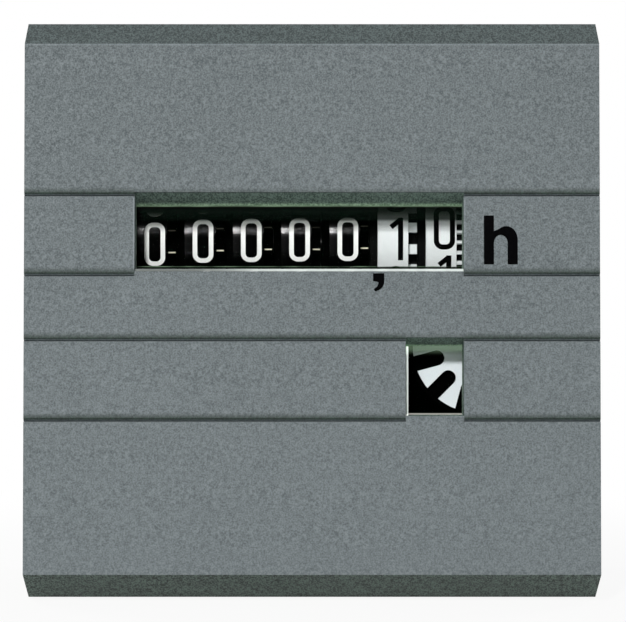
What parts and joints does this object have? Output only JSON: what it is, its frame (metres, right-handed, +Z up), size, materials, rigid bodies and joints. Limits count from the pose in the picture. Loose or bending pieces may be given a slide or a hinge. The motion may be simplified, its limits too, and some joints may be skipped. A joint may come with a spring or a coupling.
{
  "type": "panel hour meter",
  "caption": "Square panel-mount hour meter: number wheels geared from a small synchronous motor, run indicator star, sliding fixing frame and rear blade terminals.",
  "frame": {"origin": "middle of the panel opening, in the plane of the panel's front face that the bezel rim lies on", "axes": "+X right seen from the front, +Y back into the panel, +Z up"},
  "size_m": [0.0484, 0.0498, 0.0486],
  "materials": {
    "grey_plastic": "fine grained moulding",
    "clear_plastic": "clear polished moulding",
    "light_plastic": "smooth moulding",
    "black_plastic": "satin moulding",
    "white_plastic": "satin moulding",
    "natural_plastic": "unfilled moulding",
    "sheet_steel": "zinc plated sheet",
    "steel": "turned",
    "brass": "turned",
    "magnet": "bonded ferrite",
    "copper": "enamelled wire",
    "tinned_brass": "tinned",
    "red_insulation": "smooth sleeve"
  },
  "bodies": {
    "meter": {"front_bezel": "grey_plastic", "counter_lens": "clear_plastic", "indicator_lens": "clear_plastic", "rear_housing": "light_plastic", "counter_frame": "sheet_steel", "counter_shaft": "steel", "pinion_shaft": "steel", "shaft_clips": "sheet_steel", "front_plate": "black_plastic", "rear_plate": "sheet_steel", "plate_pillars": "steel", "plate_screws": "steel", "frame_screws": "steel", "stator_front": "sheet_steel", "stator_rear": "sheet_steel", "coil_bobbin": "natural_plastic", "coil_winding": "copper", "bearing_cap": "natural_plastic", "motor_screws": "steel", "terminal_left": "tinned_brass", "terminal_right": "tinned_brass", "coil_pins": "tinned_brass", "lead_left": "red_insulation", "lead_right": "red_insulation"},
    "fixing": {"mounting_frame": "black_plastic"},
    "run_arbor": {"worm_arbor": "brass", "arbor_gear": "brass", "indicator_disc": "black_plastic", "indicator_star": "white_plastic"},
    "idler": {"idler_arbor": "steel", "idler_pinion": "brass", "idler_gear": "brass"},
    "rotor": {"rotor_arbor": "steel", "rotor_pinion": "brass", "rotor_hub": "natural_plastic", "rotor_magnet": "magnet"},
    "hundredths": {"wheel_hundredths": "white_plastic"},
    "tenths": {"wheel_tenths": "white_plastic"},
    "units": {"wheel_units": "black_plastic"},
    "tens": {"wheel_tens": "black_plastic"},
    "hundreds": {"wheel_hundreds": "black_plastic"},
    "thousands": {"wheel_thousands": "black_plastic"},
    "ten_thousands": {"wheel_ten_thousands": "black_plastic"},
    "pinion_tenths": {"carry_pinion_tenths": "natural_plastic"},
    "pinion_units": {"carry_pinion_units": "natural_plastic"},
    "pinion_tens": {"carry_pinion_tens": "natural_plastic"},
    "pinion_hundreds": {"carry_pinion_hundreds": "natural_plastic"},
    "pinion_thousands": {"carry_pinion_thousands": "natural_plastic"},
    "pinion_ten_thousands": {"carry_pinion_ten_thousands": "natural_plastic"}
  },
  "joints": [
    {"name": "fixing_slide", "type": "slide", "parent": "meter", "child": "fixing", "axis": [0, 1, 0], "range_m": [-0.002, 0.022]},
    {"name": "run_spin", "type": "hinge", "parent": "meter", "child": "run_arbor", "pos_m": [0.0142, 0, -0.00305], "axis": [0, 1, 0], "continuous": true},
    {"name": "idler_spin", "type": "hinge", "parent": "meter", "child": "idler", "pos_m": [0.00925, 0, -0.008], "axis": [0, 1, 0], "continuous": true},
    {"name": "rotor_spin", "type": "hinge", "parent": "meter", "child": "rotor", "pos_m": [0.00344, 0, -0.00902], "axis": [0, 1, 0], "continuous": true},
    {"name": "hundredths_spin", "type": "hinge", "parent": "meter", "child": "hundredths", "pos_m": [0, 0.0068, 0.006], "axis": [-1, 0, 0], "continuous": true},
    {"name": "tenths_spin", "type": "hinge", "parent": "meter", "child": "tenths", "pos_m": [0, 0.0068, 0.006], "axis": [-1, 0, 0], "continuous": true},
    {"name": "units_spin", "type": "hinge", "parent": "meter", "child": "units", "pos_m": [0, 0.0068, 0.006], "axis": [-1, 0, 0], "continuous": true},
    {"name": "tens_spin", "type": "hinge", "parent": "meter", "child": "tens", "pos_m": [0, 0.0068, 0.006], "axis": [-1, 0, 0], "continuous": true},
    {"name": "hundreds_spin", "type": "hinge", "parent": "meter", "child": "hundreds", "pos_m": [0, 0.0068, 0.006], "axis": [-1, 0, 0], "continuous": true},
    {"name": "thousands_spin", "type": "hinge", "parent": "meter", "child": "thousands", "pos_m": [0, 0.0068, 0.006], "axis": [-1, 0, 0], "continuous": true},
    {"name": "ten_thousands_spin", "type": "hinge", "parent": "meter", "child": "ten_thousands", "pos_m": [0, 0.0068, 0.006], "axis": [-1, 0, 0], "continuous": true},
    {"name": "pinion_tenths_spin", "type": "hinge", "parent": "meter", "child": "pinion_tenths", "pos_m": [0, 0.01151, 0.01216], "axis": [-1, 0, 0], "continuous": true},
    {"name": "pinion_units_spin", "type": "hinge", "parent": "meter", "child": "pinion_units", "pos_m": [0, 0.01151, 0.01216], "axis": [-1, 0, 0], "continuous": true},
    {"name": "pinion_tens_spin", "type": "hinge", "parent": "meter", "child": "pinion_tens", "pos_m": [0, 0.01151, 0.01216], "axis": [-1, 0, 0], "continuous": true},
    {"name": "pinion_hundreds_spin", "type": "hinge", "parent": "meter", "child": "pinion_hundreds", "pos_m": [0, 0.01151, 0.01216], "axis": [-1, 0, 0], "continuous": true},
    {"name": "pinion_thousands_spin", "type": "hinge", "parent": "meter", "child": "pinion_thousands", "pos_m": [0, 0.01151, 0.01216], "axis": [-1, 0, 0], "continuous": true},
    {"name": "pinion_ten_thousands_spin", "type": "hinge", "parent": "meter", "child": "pinion_ten_thousands", "pos_m": [0, 0.01151, 0.01216], "axis": [-1, 0, 0], "continuous": true}
  ],
  "couplings": [
    {"joint": "idler_spin", "follows": "run_spin", "ratio": -6},
    {"joint": "rotor_spin", "follows": "run_spin", "ratio": 33.333},
    {"joint": "hundredths_spin", "follows": "run_spin", "ratio": 0.022222},
    {"joint": "tenths_spin", "follows": "run_spin", "ratio": 0.0022222},
    {"joint": "units_spin", "follows": "run_spin", "ratio": 0.00022222},
    {"joint": "tens_spin", "follows": "run_spin", "ratio": 0.000022222},
    {"joint": "hundreds_spin", "follows": "run_spin", "ratio": 0.0000022222},
    {"joint": "thousands_spin", "follows": "run_spin", "ratio": 0.00000022222},
    {"joint": "ten_thousands_spin", "follows": "run_spin", "ratio": 0.000000022222},
    {"joint": "pinion_tenths_spin", "follows": "run_spin", "ratio": -0.0055556},
    {"joint": "pinion_units_spin", "follows": "run_spin", "ratio": -0.00055556},
    {"joint": "pinion_tens_spin", "follows": "run_spin", "ratio": -0.000055556},
    {"joint": "pinion_hundreds_spin", "follows": "run_spin", "ratio": -0.0000055556},
    {"joint": "pinion_thousands_spin", "follows": "run_spin", "ratio": -0.00000055556},
    {"joint": "pinion_ten_thousands_spin", "follows": "run_spin", "ratio": -0.000000055556}
  ]
}
